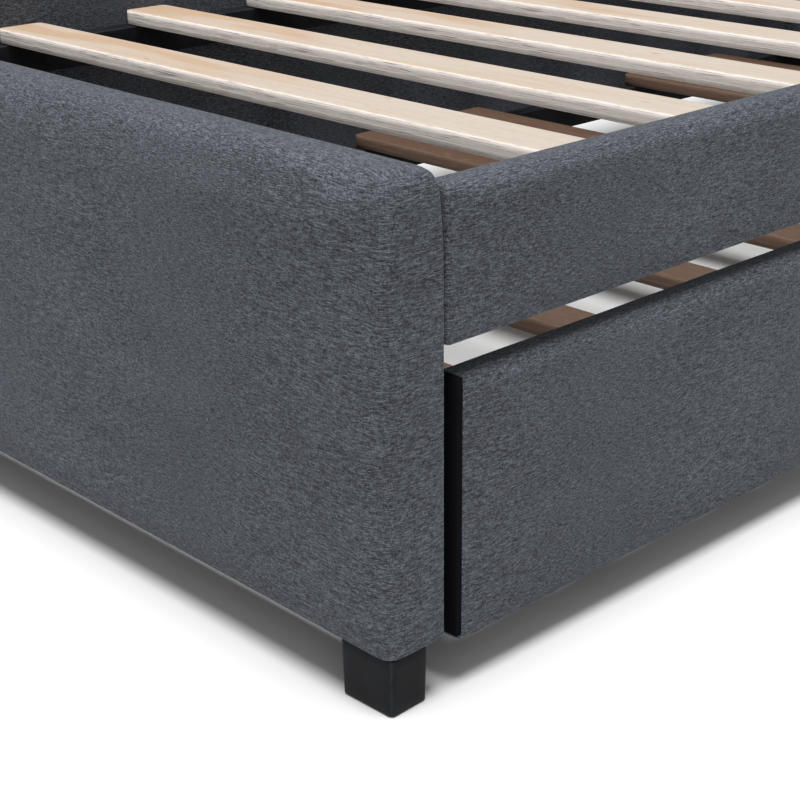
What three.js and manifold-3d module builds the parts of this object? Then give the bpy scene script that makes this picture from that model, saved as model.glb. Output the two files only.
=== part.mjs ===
// A twin upholstered platform bed with a roll-out trundle, in millimetres with +Z up.
// +X runs from the foot to the head, and the trundle pulls out towards -Y.
// The origin is the centre of the bed's footprint, on the floor.
import * as THREE from "three";
import { mergeVertices } from "three/addons/utils/BufferGeometryUtils.js";
import Module from "manifold-3d";

// Driving dimensions
const INTERIOR_LENGTH = 1930; // between the footboard and the headboard
const INTERIOR_WIDTH = 1000; // between the two side panels
const END_THICKNESS = 58; // footboard and headboard, padding included
const SIDE_THICKNESS = 30; // side panels and trundle front, padding included
const LEG_HEIGHT = 48;
const FOOTBOARD_TOP = 408;
const HEADBOARD_TOP = 960;
const SIDE_TOP = 392;
const NEAR_RAIL_BOTTOM = 275;
const MAIN_DECK_TOP = 337;
const TRUNDLE_FRONT_BOTTOM = 39;
const TRUNDLE_FRONT_TOP = 252;
const TRUNDLE_DECK_TOP = 135;
const TRUNDLE_END_GAP = 13; // between the trundle front and each end board
const TRUNDLE_DEPTH = 960; // from the trundle's face to the back of its rear rail

// Slats
const MAIN_SLAT_WIDTH = 61;
const TRUNDLE_SLAT_WIDTH = 53;
const SLAT_THICKNESS = 18;
const SLAT_EDGE_RADIUS = 2;
const MAIN_SLAT_COUNT = 10;
const MAIN_SLAT_PITCH = 191;
const MAIN_SLAT_NUDGES = new Map([[2, 8]]); // slats fixed a little off the even pitch
const MAIN_SLAT_START = 131; // front edge of the first slat, from the footboard's face
const TRUNDLE_SLAT_COUNT = 9;
const TRUNDLE_SLAT_PITCH = 197;
const TRUNDLE_SLAT_START = 244;
const LEDGER_DEPTH = 25;
const LEDGER_HEIGHT = 38;
const RAIL_EDGE_RADIUS = 2; // on every sawn rail and ledger

// Padding
const END_PADDING = 12;
const END_EDGE_PADDING = 16; // over the top and round the ends
const SIDE_PADDING = 6;
const SIDE_EDGE_PADDING = 7;
const RAIL_END_PADDING = 3;
const END_BOARD_CORNER = 32; // a board's top corners are sawn round, so that they don't wear the cover
const SIDE_BOARD_CORNER = 12;
const END_TOP_RADIUS = 26;
const END_CORNER_RADIUS = 13;
const SIDE_EDGE_RADIUS = 7;
const BOARD_RECESS = 2; // how far a board sits above the open bottom of its cover

// Legs
const LEG_TOP = [39, 54];
const LEG_FOOT = [37, 52];
const LEG_INSET = 4;
const LEG_CORNER_RADIUS = 4;
const MIDDLE_LEG_TOP = [50, 27];
const MIDDLE_LEG_FOOT = [46, 24];
const MIDDLE_LEG_X = 985;

// Trundle frame and casters
const FRAME_WIDTH = 25;
const FRAME_HEIGHT = 40;
const SIDE_RAIL_WIDTH = 40;
const SIDE_RAIL_INSET = 17; // from the end boards to the trundle's end rails
const WHEEL_RADIUS = 25;
const WHEEL_WIDTH = 20;
const WHEEL_SEGMENTS = 28;
const AXLE_RADIUS = 4;
const AXLE_HEAD_RADIUS = 6.5;
const BORE_RADIUS = 4.3;
const PLATE = 2.5; // steel thickness
const CASTER_SETBACK = 110; // from the trundle's face to the front wheels
const CASTER_REAR = 900;

const GAP = 0.3; // clearance where two pieces touch
const OVERALL_LENGTH = INTERIOR_LENGTH + 2 * END_THICKNESS;
const OVERALL_WIDTH = INTERIOR_WIDTH + 2 * SIDE_THICKNESS;
const INSIDE_FOOT = END_THICKNESS;
const INSIDE_HEAD = END_THICKNESS + INTERIOR_LENGTH;
const INSIDE_NEAR = SIDE_THICKNESS;
const INSIDE_FAR = SIDE_THICKNESS + INTERIOR_WIDTH;

const wasm = await Module();
wasm.setup();

const material = (color, roughness, metalness = 0) =>
  new THREE.MeshStandardMaterial({ color, roughness, metalness });

const FINISH = {
  fabric: material(0x50535a, 0.95),
  board: material(0xa58a66, 0.85),
  slat: material(0xdccab4, 0.6),
  leg: material(0x1c1d20, 0.45),
  frame: material(0x232427, 0.6),
  ledger: material(0x2c2e33, 0.7),
  steel: material(0x9a9da1, 0.35, 0.9),
  tyre: material(0x2a2a2c, 0.55),
};

// Everything below is placed from the outer foot corner on the trundle side.
const bed = new THREE.Group();
bed.position.set(-OVERALL_LENGTH / 2, -OVERALL_WIDTH / 2, 0);

function add(name, geometry, finish, position = [0, 0, 0], turn = 0) {
  const mesh = new THREE.Mesh(geometry, finish);
  mesh.name = name;
  mesh.position.set(...position);
  mesh.rotation.z = turn;
  bed.add(mesh);
}

// A block between two opposite corners.
function block(low, high) {
  const size = high.map((value, axis) => value - low[axis]);
  const middle = low.map((value, axis) => value + size[axis] / 2);
  return new THREE.BoxGeometry(...size).translate(...middle);
}

function toSolid(geometry) {
  const bare = geometry.clone();
  bare.deleteAttribute("normal");
  bare.deleteAttribute("uv");
  const merged = mergeVertices(bare, 1e-4);
  const triVerts = new Uint32Array(merged.index.array);
  const vertProperties = merged.attributes.position.array;
  return new wasm.Manifold(new wasm.Mesh({ numProp: 3, vertProperties, triVerts }));
}

function toGeometry(solid) {
  const mesh = solid.getMesh();
  const geometry = new THREE.BufferGeometry();
  geometry.setAttribute("position", new THREE.BufferAttribute(mesh.vertProperties, 3));
  geometry.setIndex(new THREE.BufferAttribute(mesh.triVerts, 1));
  const faceted = geometry.toNonIndexed();
  faceted.computeVertexNormals();
  return faceted;
}

// A rectangle whose four corners each have their own radius, from the lower left, anticlockwise.
function roundedOutline(left, bottom, right, top, radii) {
  const [lowerLeft, lowerRight, upperRight, upperLeft] = radii;
  const shape = new THREE.Shape();
  const quarter = Math.PI / 2;
  shape.moveTo(left + lowerLeft, bottom);
  shape.lineTo(right - lowerRight, bottom);
  if (lowerRight > 0)
    shape.absarc(right - lowerRight, bottom + lowerRight, lowerRight, -quarter, 0);
  shape.lineTo(right, top - upperRight);
  if (upperRight > 0)
    shape.absarc(right - upperRight, top - upperRight, upperRight, 0, quarter);
  shape.lineTo(left + upperLeft, top);
  if (upperLeft > 0)
    shape.absarc(left + upperLeft, top - upperLeft, upperLeft, quarter, 2 * quarter);
  shape.lineTo(left, bottom + lowerLeft);
  if (lowerLeft > 0)
    shape.absarc(left + lowerLeft, bottom + lowerLeft, lowerLeft, 2 * quarter, 3 * quarter);
  return shape;
}

// Extrudes an outline drawn in (X, Y) up the Z axis.
function extrudeUp(shape, bottom, top, curveSegments = 4) {
  const options = { depth: top - bottom, bevelEnabled: false, curveSegments };
  return new THREE.ExtrudeGeometry(shape, options).translate(0, 0, bottom);
}

// Extrudes an outline drawn in (X, Z) along the Y axis.
function extrudeAcross(shape, near, far, curveSegments = 4) {
  const options = { depth: far - near, bevelEnabled: false, curveSegments };
  return new THREE.ExtrudeGeometry(shape, options).rotateX(Math.PI / 2).translate(0, far, 0);
}

// Extrudes an outline drawn in (Y, Z) along the X axis.
function extrudeAlong(shape, foot, head, curveSegments = 4) {
  const options = { depth: head - foot, bevelEnabled: false, curveSegments };
  return new THREE.ExtrudeGeometry(shape, options)
    .rotateX(Math.PI / 2)
    .rotateZ(Math.PI / 2)
    .translate(foot, 0, 0);
}

// A panel's bare board, with its two top corners sawn round.
function boardGeometry(low, high, corner) {
  const corners = [0, 0, corner, corner];
  const alongX = high[0] - low[0] > high[1] - low[1];
  if (alongX) {
    const face = roundedOutline(low[0], low[2], high[0], high[2], corners);
    return extrudeAcross(face, low[1], high[1]);
  }
  const face = roundedOutline(low[1], low[2], high[1], high[2], corners);
  return extrudeAlong(face, low[0], high[0]);
}

// An upholstered panel: a bare board, and the padded cover pulled over it from above.
// The cover stays open underneath, where it is stapled to the board.
function upholsteredPanel(name, low, high, padding, edgeRadii, planRadius, boardCorner) {
  const thin = high[0] - low[0] < high[1] - low[1];
  const section = thin
    ? extrudeAcross(roundedOutline(low[0], low[2], high[0], high[2], edgeRadii), low[1], high[1])
    : extrudeAlong(roundedOutline(low[1], low[2], high[1], high[2], edgeRadii), low[0], high[0]);
  const planCorners = Array(4).fill(planRadius);
  const plan = extrudeUp(
    roundedOutline(low[0], low[1], high[0], high[1], planCorners),
    low[2] - 1,
    high[2] + 1,
  );
  const hollowLow = [low[0] + padding[0], low[1] + padding[1], low[2] - 1];
  const hollowHigh = [high[0] - padding[0], high[1] - padding[1], high[2] - padding[2]];
  const cover = toSolid(section)
    .intersect(toSolid(plan))
    .subtract(toSolid(block(hollowLow, hollowHigh)));
  const boardLow = [hollowLow[0] + GAP, hollowLow[1] + GAP, low[2] + BOARD_RECESS];
  const boardHigh = hollowHigh.map((value) => value - GAP);
  add(`${name}_board`, boardGeometry(boardLow, boardHigh, boardCorner), FINISH.board);
  add(`${name}_cover`, toGeometry(cover), FINISH.fabric);
}

// Footboard and headboard: soft all round, with a deep roll over the top edge.
function endBoards() {
  const padding = [END_PADDING, END_EDGE_PADDING, END_EDGE_PADDING];
  const radii = [4, 4, END_TOP_RADIUS, END_TOP_RADIUS];
  upholsteredPanel(
    "footboard",
    [0, 0, LEG_HEIGHT],
    [END_THICKNESS, OVERALL_WIDTH, FOOTBOARD_TOP],
    padding,
    radii,
    END_CORNER_RADIUS,
    END_BOARD_CORNER,
  );
  upholsteredPanel(
    "headboard",
    [INSIDE_HEAD, 0, LEG_HEIGHT],
    [OVERALL_LENGTH, OVERALL_WIDTH, HEADBOARD_TOP],
    padding,
    radii,
    END_CORNER_RADIUS,
    END_BOARD_CORNER,
  );
}

// The near rail stops above the trundle; the far panel reaches down to leg height.
function sidePanels() {
  const padding = [RAIL_END_PADDING, SIDE_PADDING, SIDE_EDGE_PADDING];
  const radii = [3, 3, SIDE_EDGE_RADIUS, SIDE_EDGE_RADIUS];
  const foot = INSIDE_FOOT + GAP;
  const head = INSIDE_HEAD - GAP;
  upholsteredPanel(
    "near_rail",
    [foot, 0, NEAR_RAIL_BOTTOM],
    [head, SIDE_THICKNESS, SIDE_TOP],
    padding,
    radii,
    2,
    SIDE_BOARD_CORNER,
  );
  upholsteredPanel(
    "far_panel",
    [foot, INSIDE_FAR, LEG_HEIGHT],
    [head, OVERALL_WIDTH, SIDE_TOP],
    padding,
    radii,
    2,
    SIDE_BOARD_CORNER,
  );
}

// A sawn rail between two opposite corners, with its four long edges eased.
function railGeometry(low, high) {
  const eased = Array(4).fill(RAIL_EDGE_RADIUS);
  const alongX = high[0] - low[0] > high[1] - low[1];
  if (alongX) {
    const section = roundedOutline(low[1], low[2], high[1], high[2], eased);
    return extrudeAlong(section, low[0], high[0], 2);
  }
  const section = roundedOutline(low[0], low[2], high[0], high[2], eased);
  return extrudeAcross(section, low[1], high[1], 2);
}

// A slat is laminated veneer with its four long edges eased.
function slatGeometry(width, length) {
  const outline = roundedOutline(
    0,
    -SLAT_THICKNESS,
    width,
    0,
    Array(4).fill(SLAT_EDGE_RADIUS),
  );
  return extrudeAcross(outline, 0, length, 2);
}

function slatRow(name, count, width, start, pitch, near, far, top, nudges = new Map()) {
  const geometry = slatGeometry(width, far - near);
  for (let index = 0; index < count; index += 1) {
    const number = index + 1;
    const x = start + index * pitch + (nudges.get(number) ?? 0);
    add(`${name}_${number}`, geometry, FINISH.slat, [x, near, top]);
  }
}

function mainDeck() {
  const clearance = 3;
  const ledgerTop = MAIN_DECK_TOP - SLAT_THICKNESS - GAP;
  const ledgerBottom = ledgerTop - LEDGER_HEIGHT;
  const foot = INSIDE_FOOT + 4;
  const head = INSIDE_HEAD - 4;
  const nearFace = INSIDE_NEAR + GAP;
  const farFace = INSIDE_FAR - GAP;
  add(
    "near_ledger",
    railGeometry([foot, nearFace, ledgerBottom], [head, nearFace + LEDGER_DEPTH, ledgerTop]),
    FINISH.ledger,
  );
  add(
    "far_ledger",
    railGeometry([foot, farFace - LEDGER_DEPTH, ledgerBottom], [head, farFace, ledgerTop]),
    FINISH.ledger,
  );
  slatRow(
    "main_slat",
    MAIN_SLAT_COUNT,
    MAIN_SLAT_WIDTH,
    MAIN_SLAT_START,
    MAIN_SLAT_PITCH,
    INSIDE_NEAR + clearance,
    INSIDE_FAR - clearance,
    MAIN_DECK_TOP,
    MAIN_SLAT_NUDGES,
  );
}

// A leg is a tapered block with rounded corners, wider at the top.
function legGeometry(top, foot) {
  const [width, depth] = top;
  const outline = roundedOutline(
    -width / 2,
    -depth / 2,
    width / 2,
    depth / 2,
    Array(4).fill(LEG_CORNER_RADIUS),
  );
  const height = LEG_HEIGHT - GAP;
  const geometry = extrudeUp(outline, 0, height, 3);
  const position = geometry.attributes.position;
  for (let index = 0; index < position.count; index += 1) {
    const rise = position.getZ(index) / height;
    const scaleX = THREE.MathUtils.lerp(foot[0] / width, 1, rise);
    const scaleY = THREE.MathUtils.lerp(foot[1] / depth, 1, rise);
    position.setX(index, position.getX(index) * scaleX);
    position.setY(index, position.getY(index) * scaleY);
  }
  geometry.computeVertexNormals();
  return geometry;
}

// Each leg screws on, so each one comes tight at its own slight angle.
function legs() {
  const inX = LEG_INSET + LEG_TOP[0] / 2;
  const inY = LEG_INSET + LEG_TOP[1] / 2;
  const corners = [
    ["foot_near", inX, inY, 2],
    ["foot_far", inX, OVERALL_WIDTH - inY, -1.5],
    ["head_near", OVERALL_LENGTH - inX, inY, 1],
    ["head_far", OVERALL_LENGTH - inX, OVERALL_WIDTH - inY, -2],
  ];
  const geometry = legGeometry(LEG_TOP, LEG_FOOT);
  for (const [corner, x, y, degrees] of corners)
    add(`leg_${corner}`, geometry, FINISH.leg, [x, y, 0], THREE.MathUtils.degToRad(degrees));
  add(
    "leg_far_middle",
    legGeometry(MIDDLE_LEG_TOP, MIDDLE_LEG_FOOT),
    FINISH.leg,
    [MIDDLE_LEG_X, OVERALL_WIDTH - SIDE_THICKNESS / 2, 0],
  );
}

// Folded steel angles tie each side panel to each end board, above the ledgers.
function cornerBrackets() {
  const arm = 40;
  const bottom = MAIN_DECK_TOP - 14;
  const top = SIDE_TOP - 12;
  const nearFace = INSIDE_NEAR + GAP;
  const farFace = INSIDE_FAR - GAP;
  const corners = [
    ["foot_near", INSIDE_FOOT + 2 * GAP, nearFace, 1, 1],
    ["foot_far", INSIDE_FOOT + 2 * GAP, farFace, 1, -1],
    ["head_near", INSIDE_HEAD - 2 * GAP, nearFace, -1, 1],
    ["head_far", INSIDE_HEAD - 2 * GAP, farFace, -1, -1],
  ];
  for (const [corner, x, y, alongX, alongY] of corners) {
    const outline = new THREE.Shape();
    outline.moveTo(x, y);
    outline.lineTo(x + alongX * arm, y);
    outline.lineTo(x + alongX * arm, y + alongY * PLATE);
    outline.lineTo(x + alongX * PLATE, y + alongY * PLATE);
    outline.lineTo(x + alongX * PLATE, y + alongY * arm);
    outline.lineTo(x, y + alongY * arm);
    outline.closePath();
    add(`corner_bracket_${corner}`, extrudeUp(outline, bottom, top), FINISH.steel);
  }
}

// The trundle: an upholstered front, a low frame of four rails and a deck of slats.
const TRUNDLE_FOOT = INSIDE_FOOT + TRUNDLE_END_GAP;
const TRUNDLE_HEAD = INSIDE_HEAD - TRUNDLE_END_GAP;
const FRAME_FOOT = INSIDE_FOOT + SIDE_RAIL_INSET;
const FRAME_HEAD = INSIDE_HEAD - SIDE_RAIL_INSET;
const FRAME_TOP = TRUNDLE_DECK_TOP - SLAT_THICKNESS - GAP;
const FRAME_BOTTOM = FRAME_TOP - FRAME_HEIGHT;

function trundleFrame() {
  upholsteredPanel(
    "trundle_front",
    [TRUNDLE_FOOT, 0, TRUNDLE_FRONT_BOTTOM],
    [TRUNDLE_HEAD, SIDE_THICKNESS, TRUNDLE_FRONT_TOP],
    [SIDE_EDGE_PADDING, SIDE_PADDING, SIDE_EDGE_PADDING],
    [3, 3, SIDE_EDGE_RADIUS, SIDE_EDGE_RADIUS],
    SIDE_EDGE_RADIUS,
    SIDE_BOARD_CORNER,
  );
  const ledgerNear = SIDE_THICKNESS + GAP;
  const ledgerFar = ledgerNear + FRAME_WIDTH;
  const rearNear = TRUNDLE_DEPTH - FRAME_WIDTH;
  const rail = (name, low, high) =>
    add(name, railGeometry([...low, FRAME_BOTTOM], [...high, FRAME_TOP]), FINISH.frame);
  rail("trundle_front_ledger", [FRAME_FOOT, ledgerNear], [FRAME_HEAD, ledgerFar]);
  rail("trundle_rear_rail", [FRAME_FOOT, rearNear], [FRAME_HEAD, TRUNDLE_DEPTH]);
  rail(
    "trundle_foot_rail",
    [FRAME_FOOT, ledgerFar + GAP],
    [FRAME_FOOT + SIDE_RAIL_WIDTH, rearNear - GAP],
  );
  rail(
    "trundle_head_rail",
    [FRAME_HEAD - SIDE_RAIL_WIDTH, ledgerFar + GAP],
    [FRAME_HEAD, rearNear - GAP],
  );
  slatRow(
    "trundle_slat",
    TRUNDLE_SLAT_COUNT,
    TRUNDLE_SLAT_WIDTH,
    TRUNDLE_SLAT_START,
    TRUNDLE_SLAT_PITCH,
    SIDE_THICKNESS + 1,
    TRUNDLE_DEPTH,
    TRUNDLE_DECK_TOP,
  );
}

// Steel angles hold the trundle front upright on its end rails.
function trundleBrackets() {
  const width = 30;
  const near = SIDE_THICKNESS + GAP;
  const far = near + 70;
  const bottom = FRAME_TOP + GAP;
  const top = bottom + 60;
  const outline = new THREE.Shape();
  outline.moveTo(near, bottom);
  outline.lineTo(far, bottom);
  outline.lineTo(far, bottom + PLATE);
  outline.lineTo(near + PLATE, bottom + PLATE);
  outline.lineTo(near + PLATE, top);
  outline.lineTo(near, top);
  outline.closePath();
  const middles = [
    ["foot", FRAME_FOOT + SIDE_RAIL_WIDTH / 2],
    ["head", FRAME_HEAD - SIDE_RAIL_WIDTH / 2],
  ];
  for (const [end, x] of middles)
    add(
      `trundle_bracket_${end}`,
      extrudeAlong(outline, x - width / 2, x + width / 2),
      FINISH.steel,
    );
}

// A closed profile of (radius, x) points turned round the X axis.
function turned(points, segments = WHEEL_SEGMENTS) {
  const profile = points.map(([radius, x]) => new THREE.Vector2(radius, x));
  return new THREE.LatheGeometry(profile, segments).rotateZ(-Math.PI / 2);
}

function wheelGeometry() {
  const half = WHEEL_WIDTH / 2;
  const hub = 9;
  const hubEnd = half + 0.6;
  const web = half - 2;
  return turned([
    [BORE_RADIUS, -hubEnd],
    [hub, -hubEnd],
    [hub + 1, -web],
    [WHEEL_RADIUS - 6, -web],
    [WHEEL_RADIUS - 4, -half],
    [WHEEL_RADIUS, -half + 2.5],
    [WHEEL_RADIUS, half - 2.5],
    [WHEEL_RADIUS - 4, half],
    [WHEEL_RADIUS - 6, web],
    [hub + 1, web],
    [hub, hubEnd],
    [BORE_RADIUS, hubEnd],
    [BORE_RADIUS, -hubEnd],
  ]);
}

function axleGeometry() {
  const seat = FORK_FACE + PLATE + GAP;
  const end = seat + 3;
  return turned(
    [
      [0, -end],
      [AXLE_HEAD_RADIUS, -end],
      [AXLE_HEAD_RADIUS, -seat],
      [AXLE_RADIUS, -seat],
      [AXLE_RADIUS, seat],
      [AXLE_HEAD_RADIUS, seat],
      [AXLE_HEAD_RADIUS, end],
      [0, end],
    ],
    16,
  );
}

const FORK_FACE = WHEEL_WIDTH / 2 + 1.4;

// The fork: a screwed top plate with two tapered cheeks that carry the axle.
function forkGeometry() {
  const plateTop = FRAME_BOTTOM - GAP - WHEEL_RADIUS;
  const plateBottom = plateTop - PLATE;
  const cheekFoot = 9;
  const cheek = new THREE.Shape();
  cheek.moveTo(-17, plateBottom + 1);
  cheek.lineTo(-cheekFoot, 0);
  cheek.absarc(0, 0, cheekFoot, Math.PI, 2 * Math.PI);
  cheek.lineTo(17, plateBottom + 1);
  cheek.closePath();
  const bore = new THREE.Path();
  bore.absarc(0, 0, BORE_RADIUS, 0, 2 * Math.PI);
  cheek.holes.push(bore);
  const plate = block([-20, -28, plateBottom], [20, 28, plateTop]);
  const left = extrudeAlong(cheek, -FORK_FACE - PLATE, -FORK_FACE, 8);
  const right = extrudeAlong(cheek, FORK_FACE, FORK_FACE + PLATE, 8);
  return toGeometry(toSolid(plate).add(toSolid(left)).add(toSolid(right)));
}

function casters() {
  const footX = FRAME_FOOT + SIDE_RAIL_WIDTH / 2;
  const headX = FRAME_HEAD - SIDE_RAIL_WIDTH / 2;
  const places = [
    ["foot_front", footX, CASTER_SETBACK],
    ["foot_rear", footX, CASTER_REAR],
    ["head_front", headX, CASTER_SETBACK],
    ["head_rear", headX, CASTER_REAR],
  ];
  const fork = forkGeometry();
  const wheel = wheelGeometry();
  const axle = axleGeometry();
  for (const [corner, x, y] of places) {
    const centre = [x, y, WHEEL_RADIUS];
    add(`caster_fork_${corner}`, fork, FINISH.steel, centre);
    add(`caster_wheel_${corner}`, wheel, FINISH.tyre, centre);
    add(`caster_axle_${corner}`, axle, FINISH.steel, centre);
  }
}

endBoards();
sidePanels();
mainDeck();
legs();
cornerBrackets();
trundleFrame();
trundleBrackets();
casters();

export default bed;
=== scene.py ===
"""A charcoal upholstered trundle bed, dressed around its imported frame.

Every size is in metres. +X runs from the foot to the head, +Y away from the
side that the trundle pulls out of, and +Z up. Each operator makes one group of
pieces and hangs it on the body of the frame that it moves with.
"""
import itertools
import math

import bmesh
import bpy
import numpy as np
from mathutils import Matrix, Vector, noise


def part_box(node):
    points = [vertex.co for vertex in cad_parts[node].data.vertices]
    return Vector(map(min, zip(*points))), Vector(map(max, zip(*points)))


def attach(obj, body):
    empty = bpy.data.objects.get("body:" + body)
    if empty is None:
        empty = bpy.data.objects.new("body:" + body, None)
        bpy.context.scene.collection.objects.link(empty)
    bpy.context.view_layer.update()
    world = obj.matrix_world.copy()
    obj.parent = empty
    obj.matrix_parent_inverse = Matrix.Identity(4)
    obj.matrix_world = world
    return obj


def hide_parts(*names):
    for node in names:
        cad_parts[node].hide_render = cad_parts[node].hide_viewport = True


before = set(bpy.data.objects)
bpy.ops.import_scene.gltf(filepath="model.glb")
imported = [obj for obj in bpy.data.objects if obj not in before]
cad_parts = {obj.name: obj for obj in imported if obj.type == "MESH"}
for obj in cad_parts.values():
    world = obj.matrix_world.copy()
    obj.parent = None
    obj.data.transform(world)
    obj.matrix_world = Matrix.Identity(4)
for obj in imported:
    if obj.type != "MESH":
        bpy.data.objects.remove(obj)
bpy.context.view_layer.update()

bl_info = {
    "name": "Upholstered Trundle Bed",
    "version": (1, 0, 0),
    "blender": (4, 5, 0),
    "location": "View3D > Sidebar > Trundle Bed",
    "description": "Pads, slats, finishes and lights an upholstered trundle bed",
    "category": "Add Mesh",
}


# ---------------------------------------------------------------- settings


def colour_property(name, description, default):
    return bpy.props.FloatVectorProperty(
        name=name,
        description=description,
        subtype="COLOR",
        size=3,
        min=0.0,
        max=1.0,
        default=default,
    )


def length_property(name, description, default):
    return bpy.props.FloatProperty(
        name=name, description=description, default=default, unit="LENGTH", precision=4
    )


def number_property(name, description, default):
    return bpy.props.FloatProperty(name=name, description=description, default=default)


def count_property(name, description, default):
    return bpy.props.IntProperty(name=name, description=description, default=default, min=1)


class UpholsterySettings(bpy.types.PropertyGroup):
    """The charcoal cloth and the foam under it."""

    cloth: colour_property("Cloth", "Mid tone of the heathered cloth", (0.0545, 0.0595, 0.0700))
    dark_yarn: colour_property("Dark yarn", "Darkest flecks", (0.015, 0.016, 0.020))
    pale_yarn: colour_property("Pale yarn", "Palest flecks", (0.124, 0.134, 0.155))
    fleck_length: length_property("Fleck length", "Length of a fleck along the weft", 0.0027)
    fleck_width: length_property("Fleck width", "Height of a fleck", 0.00062)
    yarn_pitch: length_property("Yarn pitch", "Distance from yarn to yarn", 0.0010)
    inset: length_property("Inset", "How far inside its cover a free face starts", 0.0008)
    top_inset: length_property("Top inset", "The same, for the top", 0.0024)
    butt_inset: length_property("Butt inset", "The same, where a face meets a neighbour", 0.0002)
    end_swell: length_property("End swell", "Most that an end panel's foam swells", 0.0038)
    side_swell: length_property("Side swell", "Most that a side panel's foam swells", 0.0024)
    dip: length_property("Dip", "Most that the cloth sinks", 0.0006)
    drift: length_property("Drift", "Most that the cloth slides over the foam", 0.0010)
    top_roll: length_property("Top roll", "Radius over an end panel's outer top edge", 0.025)
    back_roll: length_property("Back roll", "Radius over its inner top edge", 0.0225)
    end_corner: length_property("End corner", "Radius of its outer upright corners", 0.0125)
    back_corner: length_property("Back corner", "Radius of its inner upright corners", 0.0042)
    side_edge: length_property("Side edge", "Radius of the side panels' long edges", 0.0105)
    side_end: length_property("Side end", "Radius of the side panels' ends", 0.0040)
    hem: length_property("Hem", "Radius where the cloth turns under", 0.0025)
    unevenness: length_property("Unevenness", "Height of the foam's slow waves", 0.0006)
    pressure: number_property("Pressure", "Push of the foam on the cloth", 4.0)
    settle_frames: count_property("Settle frames", "Steps that the cloth settles for", 20)


class TimberSettings(bpy.types.PropertyGroup):
    """The laminated slats and the painted timbers."""

    face: colour_property("Face", "Sanded face of a slat", (0.400, 0.350, 0.298))
    warm_face: colour_property("Warm face", "Warmer patches of a face", (0.365, 0.255, 0.170))
    edge: colour_property("Edge", "Ply edges of a slat", (0.860, 0.790, 0.735))
    end_ply: colour_property("Cross ply", "Ply edges cut across the grain", (0.755, 0.685, 0.630))
    glue: colour_property("Glue line", "Lines between the plies", (0.19, 0.150, 0.130))
    knot: colour_property("Knot", "Small pin knots", (0.26, 0.13, 0.060))
    plies: count_property("Plies", "Veneers in a slat", 7)
    arris: length_property("Arris", "Radius of a slat's long edges", 0.0013)
    corner: length_property("Corner", "Radius of a slat's corners", 0.0098)
    black: colour_property("Black paint", "Paint on the frame's timbers", (0.0055, 0.0060, 0.0075))
    lacquer: colour_property("Leg lacquer", "Satin lacquer on the legs", (0.0040, 0.0045, 0.0055))
    rubbed: colour_property("Rubbed edge", "Paint worn thin on an edge", (0.035, 0.038, 0.044))


class HardwareSettings(bpy.types.PropertyGroup):
    """Steel, nylon and the black underside cloth."""

    zinc: colour_property("Zinc", "Zinc plate", (0.58, 0.585, 0.60))
    nylon: colour_property("Nylon", "Caster wheels", (0.020, 0.020, 0.022))
    dust_cloth: colour_property("Dust cloth", "Non-woven cloth underneath", (0.012, 0.012, 0.013))
    sheet: length_property("Steel thickness", "Thickness of the folded steel", 0.0025)
    bolt_radius: length_property("Bolt radius", "Half the width of a bolt's head", 0.0058)
    # The felt is painted shade: black strips put in the shadowed gaps at the trundle's ends.
    felt: length_property("Felt", "How far the trundle's felt stands out", 0.0022)
    staple_pitch: length_property("Staple pitch", "Distance from staple to staple", 0.055)


class StudioSettings(bpy.types.PropertyGroup):
    """The camera, the floor and the lights."""

    eye: bpy.props.FloatVectorProperty(
        name="Eye",
        description="Place of the camera",
        subtype="TRANSLATION",
        default=(-1.7186, -1.2805, 0.673),
    )
    heading: number_property("Heading", "Turn from +X towards +Y, in degrees", 46.646)
    tilt: number_property("Tilt", "Degrees below the horizon", 22.296)
    roll: number_property("Roll", "Camera roll, in degrees", -0.588)
    lens: number_property("Lens", "Focal length, in mm", 74.88)
    floor: colour_property("Floor", "The pale floor", (0.55, 0.55, 0.55))
    floor_size: length_property("Floor size", "Side of the floor", 60.0)
    sky: number_property("Sky", "Strength of the even light", 0.30)
    key: number_property("Key", "Strength of the top light", 5.2)
    key_spread: number_property("Key spread", "Width of the top light, in degrees", 26.0)
    fill: number_property("Fill", "Strength of the low light from the camera's side", 0.95)
    fill_spread: number_property("Fill spread", "Width of the low light, in degrees", 70.0)


SETTINGS = {
    "upholstery": UpholsterySettings,
    "timber": TimberSettings,
    "hardware": HardwareSettings,
    "studio": StudioSettings,
}


def settings(group):
    return getattr(bpy.context.scene, f"trundle_bed_{group}")


# ---------------------------------------------------------------- shader maths


class Value:
    """A shader socket that ordinary arithmetic works on."""

    def __init__(self, sheet, socket):
        self.sheet = sheet
        self.socket = socket

    def maths(self, operation, *terms):
        return self.sheet.add("ShaderNodeMath", {"operation": operation}, dict(enumerate(terms)))

    def __add__(self, other):
        return self.maths("ADD", self, other)

    def __sub__(self, other):
        return self.maths("SUBTRACT", self, other)

    def __rsub__(self, other):
        return self.maths("SUBTRACT", other, self)

    def __mul__(self, other):
        return self.maths("MULTIPLY", self, other)

    def __truediv__(self, other):
        return self.maths("DIVIDE", self, other)

    def __mod__(self, other):
        return self.maths("FLOORED_MODULO", self, other)

    def __abs__(self):
        return self.maths("ABSOLUTE", self)

    __radd__ = __add__

    def floor(self):
        return self.maths("FLOOR", self)

    def wave(self):
        return self.maths("SINE", self)

    def ramp(self, start, end):
        """0 up to start, 1 from end, and smooth between them. It falls where end is lower."""
        span = {1: start, 2: end, 3: 0.0, 4: 1.0}
        if start > end:
            span = {1: end, 2: start, 3: 1.0, 4: 0.0}
        return self.sheet.add(
            "ShaderNodeMapRange", {"interpolation_type": "SMOOTHSTEP"}, {0: self, **span}
        )


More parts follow.
